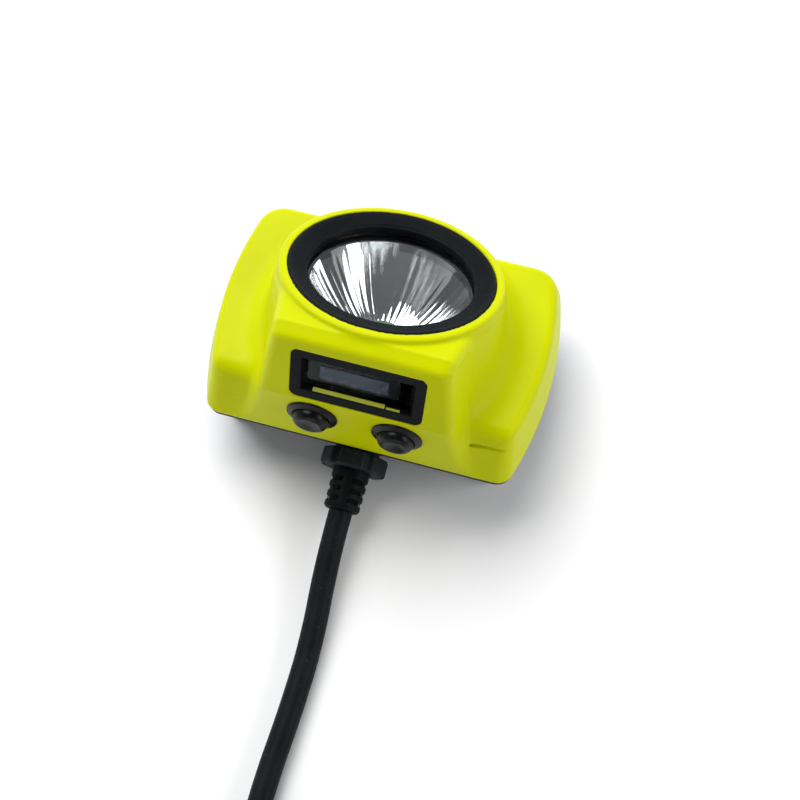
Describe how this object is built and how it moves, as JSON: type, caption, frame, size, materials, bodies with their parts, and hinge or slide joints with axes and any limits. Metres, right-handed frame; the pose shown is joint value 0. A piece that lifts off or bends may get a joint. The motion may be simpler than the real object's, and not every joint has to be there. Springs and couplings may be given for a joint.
{
  "type": "miner's cap lamp",
  "caption": "Wedge-shaped headpiece of a corded miner's cap lamp: tilted reflector lamp, small display, push buttons, helmet hook and battery cord.",
  "frame": {"origin": "on the plane of the back rails, under the middle of the headpiece's box; the cord and what is on it aren't counted", "axes": "+X across the lamp, -Y towards the cord's exit, +Z out of the helmet; the lens axis leans 31 degrees from +Z towards +Y"},
  "size_m": [0.137, 0.2447, 0.0646],
  "materials": {
    "housing_yellow": "satin moulded fluorescent yellow",
    "bezel_black": "fine matte texture",
    "seal_rubber": "matte",
    "lens_clear": "polished, clear",
    "reflector_chrome": "bright vacuum plating",
    "inner_plastic": "moulded",
    "heat_sink_aluminium": "machined",
    "board_green": "solder mask",
    "led_phosphor": "silicone dome over phosphor",
    "frame_black": "satin black",
    "display_glass": "tinted, polished",
    "oled_glass": "unlit display",
    "rear_black": "fine matte texture",
    "screw_steel": "zinc plated",
    "component_black": "moulded",
    "hook_steel": "brushed stainless",
    "gland_black": "fine matte texture",
    "brass_plated": "nickel plated",
    "wire_insulation": "extruded",
    "cord_rubber": "matte sheath",
    "relief_rubber": "matte",
    "tie_fabric": "hook-and-loop strap",
    "connector_plastic": "moulded",
    "contact_brass": "gold flashed",
    "connector_metal": "black anodised",
    "button_rubber": "satin"
  },
  "bodies": {
    "headpiece": {"front_housing": "housing_yellow", "bezel_ring": "bezel_black", "bezel_o_ring": "seal_rubber", "lens": "lens_clear", "lens_gasket": "seal_rubber", "reflector": "reflector_chrome", "reflector_spacer": "inner_plastic", "heat_sink": "heat_sink_aluminium", "led_board": "board_green", "led_emitter": "led_phosphor", "display_frame": "frame_black", "display_window": "display_glass", "oled_panel": "oled_glass", "oled_ribbon": "inner_plastic", "control_board": "board_green", "rear_housing": "rear_black", "housing_gasket": "seal_rubber", "housing_screws": "screw_steel", "main_board": "board_green", "board_supports": "inner_plastic", "board_parts": "component_black", "helmet_hook": "hook_steel", "hook_screws": "screw_steel", "gland_body": "gland_black", "gland_nut": "gland_black", "gland_grommet": "seal_rubber", "gland_o_ring": "seal_rubber", "gland_locknut": "brass_plated", "lead_wires": "wire_insulation", "cable_end": "cord_rubber", "strain_relief": "relief_rubber", "cord_tube": "cord_rubber", "cord_coil": "cord_rubber", "cord_tail": "cord_rubber", "coil_tie": "tie_fabric", "connector_boot": "relief_rubber", "connector_body": "connector_plastic", "connector_insert": "inner_plastic", "connector_contacts": "contact_brass", "button_seal_left": "button_rubber", "tact_switch_left": "component_black", "button_seal_right": "button_rubber", "tact_switch_right": "component_black"},
    "button_left": {"button_cap_left": "button_rubber", "switch_plunger_left": "inner_plastic"},
    "button_right": {"button_cap_right": "button_rubber", "switch_plunger_right": "inner_plastic"},
    "coupling_ring": {"coupling_nut": "connector_metal"}
  },
  "joints": [
    {"name": "button_left_press", "type": "slide", "parent": "headpiece", "child": "button_left", "axis": [0, 0.9963, -0.0859], "range_m": [0, 0.0008], "stiffness_N_per_m": 1500, "springref_m": -0.0006},
    {"name": "button_right_press", "type": "slide", "parent": "headpiece", "child": "button_right", "axis": [0, 0.9963, -0.0859], "range_m": [0, 0.0008], "stiffness_N_per_m": 1500, "springref_m": -0.0006},
    {"name": "coupling_ring_spin", "type": "hinge", "parent": "headpiece", "child": "coupling_ring", "pos_m": [-0.03603, -0.19827, 0.0088], "axis": [-0.6157, -0.788, 0], "continuous": true}
  ]
}
